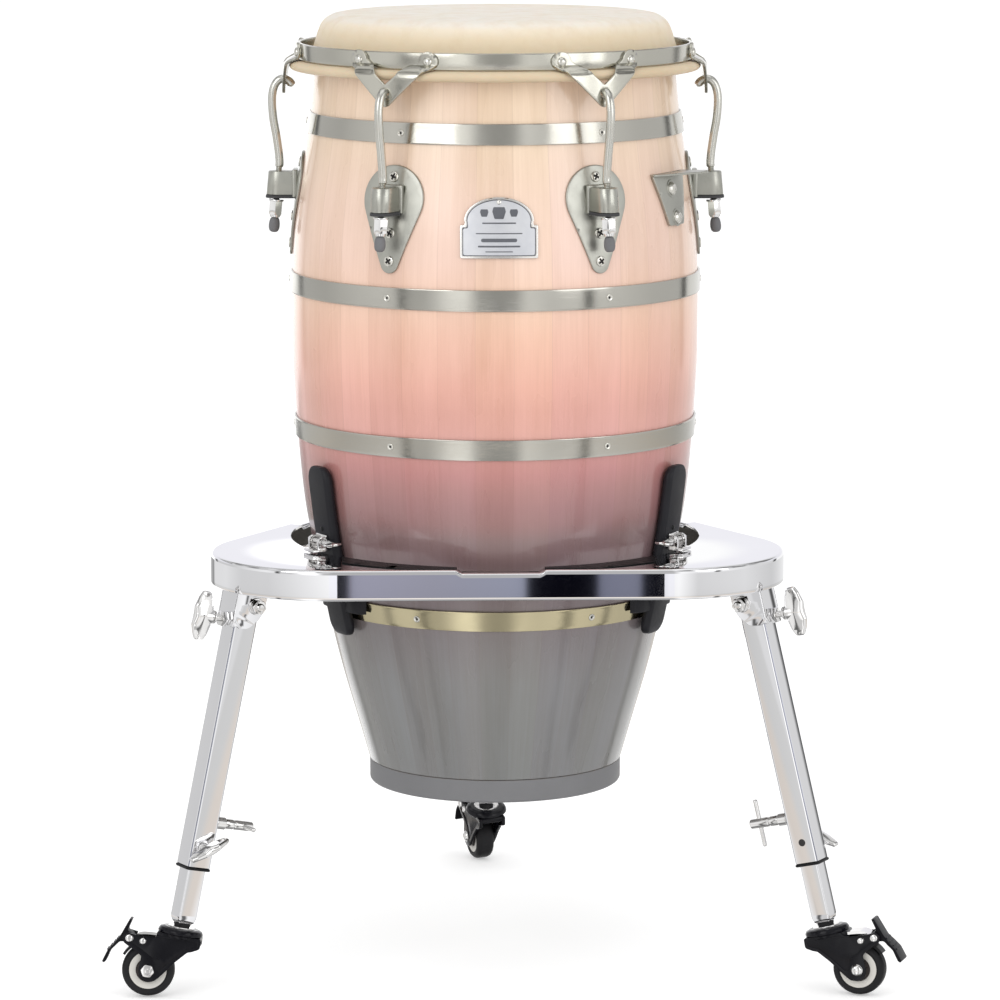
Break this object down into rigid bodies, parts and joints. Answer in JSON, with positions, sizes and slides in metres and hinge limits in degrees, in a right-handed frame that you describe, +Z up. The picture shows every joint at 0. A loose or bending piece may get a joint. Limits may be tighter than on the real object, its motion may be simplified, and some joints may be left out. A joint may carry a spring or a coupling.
{
  "type": "conga drum on wheeled basket stand",
  "caption": "Barrel-shaped hand drum with a tunable rawhide head, seated in a folding tripod basket stand on braked swivel casters.",
  "frame": {"origin": "on the floor, at the centre of the footprint box of the drum, stand and casters", "axes": "+Z up along the drum axis; -Y is the front, where the badge is; +X is to the right seen from the front"},
  "size_m": [0.7828, 0.654, 0.94],
  "materials": {
    "shell_wood": "gloss lacquer, fading from cream to grey",
    "ring_rubber": "matt",
    "rawhide": "smooth, slightly translucent hide",
    "satin_steel": "satin plated",
    "band_steel": "polished band, soft reflections",
    "band_brass": "polished, pale",
    "badge_face": "gloss enamel on plate",
    "chrome": "mirror",
    "arm_rubber": "matt",
    "caster_plastic": "gloss black",
    "tyre_rubber": "matt"
  },
  "bodies": {
    "stand": {"stand_ring": "chrome"},
    "drum": {"drum_shell": "shell_wood", "base_ring": "ring_rubber", "drumhead": "rawhide", "band_top": "band_steel", "band_upper": "band_steel", "band_middle": "band_steel", "band_lower": "band_brass", "badge": "badge_face", "side_bracket": "satin_steel", "lug_plate_fl": "satin_steel", "lug_plate_fr": "satin_steel", "lug_plate_r": "satin_steel", "lug_plate_br": "satin_steel", "lug_plate_bl": "satin_steel", "lug_plate_l": "satin_steel"},
    "rim": {"rim_hoop": "satin_steel", "tension_hook_fl": "chrome", "tension_hook_fr": "chrome", "tension_hook_r": "chrome", "tension_hook_br": "chrome", "tension_hook_bl": "chrome", "tension_hook_l": "chrome"},
    "nut_fl": {"tension_nut_fl": "chrome"},
    "nut_fr": {"tension_nut_fr": "chrome"},
    "nut_r": {"tension_nut_r": "chrome"},
    "nut_br": {"tension_nut_br": "chrome"},
    "nut_bl": {"tension_nut_bl": "chrome"},
    "nut_l": {"tension_nut_l": "chrome"},
    "arm_left": {"support_arm_left": "arm_rubber"},
    "arm_screw_left": {"arm_clamp_bolt_left": "chrome"},
    "leg_left": {"leg_outer_left": "chrome"},
    "foot_left": {"leg_inner_left": "chrome"},
    "fold_screw_left": {"fold_wing_bolt_left": "chrome"},
    "lock_screw_left": {"lock_wing_bolt_left": "chrome"},
    "tee_screw_left": {"tee_bolt_left": "chrome"},
    "caster_left": {"caster_fork_left": "caster_plastic"},
    "wheel_left": {"wheel_left": "tyre_rubber"},
    "brake_left": {"brake_pedal_left": "caster_plastic"},
    "arm_right": {"support_arm_right": "arm_rubber"},
    "arm_screw_right": {"arm_clamp_bolt_right": "chrome"},
    "leg_right": {"leg_outer_right": "chrome"},
    "foot_right": {"leg_inner_right": "chrome"},
    "fold_screw_right": {"fold_wing_bolt_right": "chrome"},
    "lock_screw_right": {"lock_wing_bolt_right": "chrome"},
    "tee_screw_right": {"tee_bolt_right": "chrome"},
    "caster_right": {"caster_fork_right": "caster_plastic"},
    "wheel_right": {"wheel_right": "tyre_rubber"},
    "brake_right": {"brake_pedal_right": "caster_plastic"},
    "arm_rear": {"support_arm_rear": "arm_rubber"},
    "arm_screw_rear": {"arm_clamp_bolt_rear": "chrome"},
    "leg_rear": {"leg_outer_rear": "chrome"},
    "foot_rear": {"leg_inner_rear": "chrome"},
    "fold_screw_rear": {"fold_wing_bolt_rear": "chrome"},
    "lock_screw_rear": {"lock_wing_bolt_rear": "chrome"},
    "tee_screw_rear": {"tee_bolt_rear": "chrome"},
    "caster_rear": {"caster_fork_rear": "caster_plastic"},
    "wheel_rear": {"wheel_rear": "tyre_rubber"},
    "brake_rear": {"brake_pedal_rear": "caster_plastic"}
  },
  "joints": [
    {"name": "drum_lift", "type": "slide", "parent": "stand", "child": "drum", "axis": [0, 0, 1], "range_m": [0, 0.55]},
    {"name": "rim_tune", "type": "slide", "parent": "drum", "child": "rim", "axis": [0, 0, 1], "range_m": [0, 0.004]},
    {"name": "nut_turn_fl", "type": "hinge", "parent": "drum", "child": "nut_fl", "pos_m": [-0.11825, -0.2966, 0.752], "axis": [-0.0453, -0.0785, -0.9959], "range_deg": [0, 1154]},
    {"name": "nut_turn_fr", "type": "hinge", "parent": "drum", "child": "nut_fr", "pos_m": [0.09881, -0.2966, 0.752], "axis": [0.0453, -0.0785, -0.9959], "range_deg": [0, 1154]},
    {"name": "nut_turn_r", "type": "hinge", "parent": "drum", "child": "nut_r", "pos_m": [0.20734, -0.10862, 0.752], "axis": [0.0906, 0, -0.9959], "range_deg": [0, 1154]},
    {"name": "nut_turn_br", "type": "hinge", "parent": "drum", "child": "nut_br", "pos_m": [0.09881, 0.07936, 0.752], "axis": [0.0453, 0.0785, -0.9959], "range_deg": [0, 1154]},
    {"name": "nut_turn_bl", "type": "hinge", "parent": "drum", "child": "nut_bl", "pos_m": [-0.11825, 0.07936, 0.752], "axis": [-0.0453, 0.0785, -0.9959], "range_deg": [0, 1154]},
    {"name": "nut_turn_l", "type": "hinge", "parent": "drum", "child": "nut_l", "pos_m": [-0.22678, -0.10862, 0.752], "axis": [-0.0906, 0, -0.9959], "range_deg": [0, 1154]},
    {"name": "arm_slide_left", "type": "slide", "parent": "stand", "child": "arm_left", "axis": [-0.8517, -0.524, 0], "range_m": [0, 0.006]},
    {"name": "arm_screw_turn_left", "type": "hinge", "parent": "arm_left", "child": "arm_screw_left", "pos_m": [-0.18211, -0.21468, 0.4342], "axis": [0.524, -0.8517, 0], "continuous": true},
    {"name": "leg_fold_left", "type": "hinge", "parent": "stand", "child": "leg_left", "pos_m": [-0.24965, -0.25623, 0.379], "axis": [0.524, -0.8517, 0], "range_deg": [0, 30]},
    {"name": "fold_screw_turn_left", "type": "hinge", "parent": "stand", "child": "fold_screw_left", "pos_m": [-0.28244, -0.2764, 0.3698], "axis": [-0.8306, -0.511, 0.2215], "continuous": true},
    {"name": "leg_extend_left", "type": "slide", "parent": "leg_left", "child": "foot_left", "axis": [-0.1887, -0.1161, -0.9751], "range_m": [-0.04, 0.06]},
    {"name": "lock_screw_turn_left", "type": "hinge", "parent": "leg_left", "child": "lock_screw_left", "pos_m": [-0.28903, -0.30394, 0.14618], "axis": [0.524, -0.8517, 0], "continuous": true},
    {"name": "tee_screw_turn_left", "type": "hinge", "parent": "leg_left", "child": "tee_screw_left", "pos_m": [-0.27006, -0.26879, 0.16294], "axis": [0.8306, 0.511, -0.2215], "continuous": true},
    {"name": "caster_swivel_left", "type": "hinge", "parent": "foot_left", "child": "caster_left", "pos_m": [-0.31557, -0.29678, 0.06319], "axis": [0.1887, 0.1161, 0.9751], "continuous": true},
    {"name": "wheel_spin_left", "type": "hinge", "parent": "caster_left", "child": "wheel_left", "pos_m": [-0.34721, -0.30121, 0.02595], "axis": [0, 0.993, -0.1182], "continuous": true},
    {"name": "brake_press_left", "type": "hinge", "parent": "caster_left", "child": "brake_left", "pos_m": [-0.36497, -0.29742, 0.05785], "axis": [0, 0.993, -0.1182], "range_deg": [0, 15]},
    {"name": "arm_slide_right", "type": "slide", "parent": "stand", "child": "arm_right", "axis": [0.8796, -0.4756, 0], "range_m": [0, 0.006]},
    {"name": "arm_screw_turn_right", "type": "hinge", "parent": "arm_right", "child": "arm_screw_right", "pos_m": [0.16832, -0.20489, 0.4342], "axis": [-0.4756, -0.8796, 0], "continuous": true},
    {"name": "leg_fold_right", "type": "hinge", "parent": "stand", "child": "leg_right", "pos_m": [0.23808, -0.24261, 0.379], "axis": [0.4756, 0.8796, 0], "range_deg": [0, 30]},
    {"name": "fold_screw_turn_right", "type": "hinge", "parent": "stand", "child": "fold_screw_right", "pos_m": [0.27215, -0.26103, 0.37088], "axis": [0.852, -0.4607, 0.2487], "continuous": true},
    {"name": "leg_extend_right", "type": "slide", "parent": "leg_right", "child": "foot_right", "axis": [0.2188, -0.1183, -0.9686], "range_m": [-0.04, 0.06]},
    {"name": "lock_screw_turn_right", "type": "hinge", "parent": "leg_right", "child": "lock_screw_right", "pos_m": [0.30478, -0.25593, 0.14791], "axis": [0.4756, 0.8796, 0], "continuous": true},
    {"name": "tee_screw_turn_right", "type": "hinge", "parent": "leg_right", "child": "tee_screw_right", "pos_m": [0.26446, -0.25687, 0.16369], "axis": [-0.852, 0.4607, -0.2487], "continuous": true},
    {"name": "caster_swivel_right", "type": "hinge", "parent": "foot_right", "child": "caster_right", "pos_m": [0.3148, -0.28409, 0.06143], "axis": [-0.2188, 0.1183, 0.9686], "continuous": true},
    {"name": "wheel_spin_right", "type": "hinge", "parent": "caster_right", "child": "wheel_right", "pos_m": [0.34651, -0.29567, 0.02582], "axis": [-0.2917, -0.9552, 0.0508], "continuous": true},
    {"name": "brake_press_right", "type": "hinge", "parent": "caster_right", "child": "brake_right", "pos_m": [0.36222, -0.29871, 0.05885], "axis": [-0.2917, -0.9552, 0.0508], "range_deg": [0, 15]},
    {"name": "arm_slide_rear", "type": "slide", "parent": "stand", "child": "arm_rear", "axis": [-0.0279, 0.9996, 0], "range_m": [0, 0.006]},
    {"name": "arm_screw_turn_rear", "type": "hinge", "parent": "arm_rear", "child": "arm_screw_rear", "pos_m": [-0.01537, 0.0937, 0.4342], "axis": [-0.9996, -0.0279, 0], "continuous": true},
    {"name": "leg_fold_rear", "type": "hinge", "parent": "stand", "child": "leg_rear", "pos_m": [-0.01758, 0.17297, 0.379], "axis": [-0.9996, -0.0279, 0], "range_deg": [0, 30]},
    {"name": "fold_screw_turn_rear", "type": "hinge", "parent": "stand", "child": "fold_screw_rear", "pos_m": [-0.01866, 0.21145, 0.3698], "axis": [-0.0272, 0.9748, 0.2215], "continuous": true},
    {"name": "leg_extend_rear", "type": "slide", "parent": "leg_rear", "child": "foot_rear", "axis": [-0.0062, 0.2215, -0.9751], "range_m": [-0.04, 0.06]},
    {"name": "lock_screw_turn_rear", "type": "hinge", "parent": "leg_rear", "child": "lock_screw_rear", "pos_m": [-0.03921, 0.23092, 0.14618], "axis": [-0.9996, -0.0279, 0], "continuous": true},
    {"name": "tee_screw_turn_rear", "type": "hinge", "parent": "leg_rear", "child": "tee_screw_rear", "pos_m": [-0.01825, 0.19692, 0.16294], "axis": [0.0272, -0.9748, -0.2215], "continuous": true},
    {"name": "caster_swivel_rear", "type": "hinge", "parent": "foot_rear", "child": "caster_rear", "pos_m": [-0.01975, 0.25049, 0.06249], "axis": [0.0062, -0.2215, 0.9751], "continuous": true},
    {"name": "wheel_spin_rear", "type": "hinge", "parent": "caster_rear", "child": "wheel_rear", "pos_m": [-0.02759, 0.28216, 0.02584], "axis": [0.9488, 0.3093, 0.0642], "continuous": true},
    {"name": "brake_press_rear", "type": "hinge", "parent": "caster_rear", "child": "brake_rear", "pos_m": [-0.03484, 0.29765, 0.05832], "axis": [0.9488, 0.3093, 0.0642], "range_deg": [0, 15]}
  ],
  "couplings": [
    {"joint": "nut_turn_fl", "follows": "rim_tune", "rad_per_m": 5026.5},
    {"joint": "nut_turn_fr", "follows": "rim_tune", "rad_per_m": 5026.5},
    {"joint": "nut_turn_r", "follows": "rim_tune", "rad_per_m": 5026.5},
    {"joint": "nut_turn_br", "follows": "rim_tune", "rad_per_m": 5026.5},
    {"joint": "nut_turn_bl", "follows": "rim_tune", "rad_per_m": 5026.5},
    {"joint": "nut_turn_l", "follows": "rim_tune", "rad_per_m": 5026.5}
  ]
}
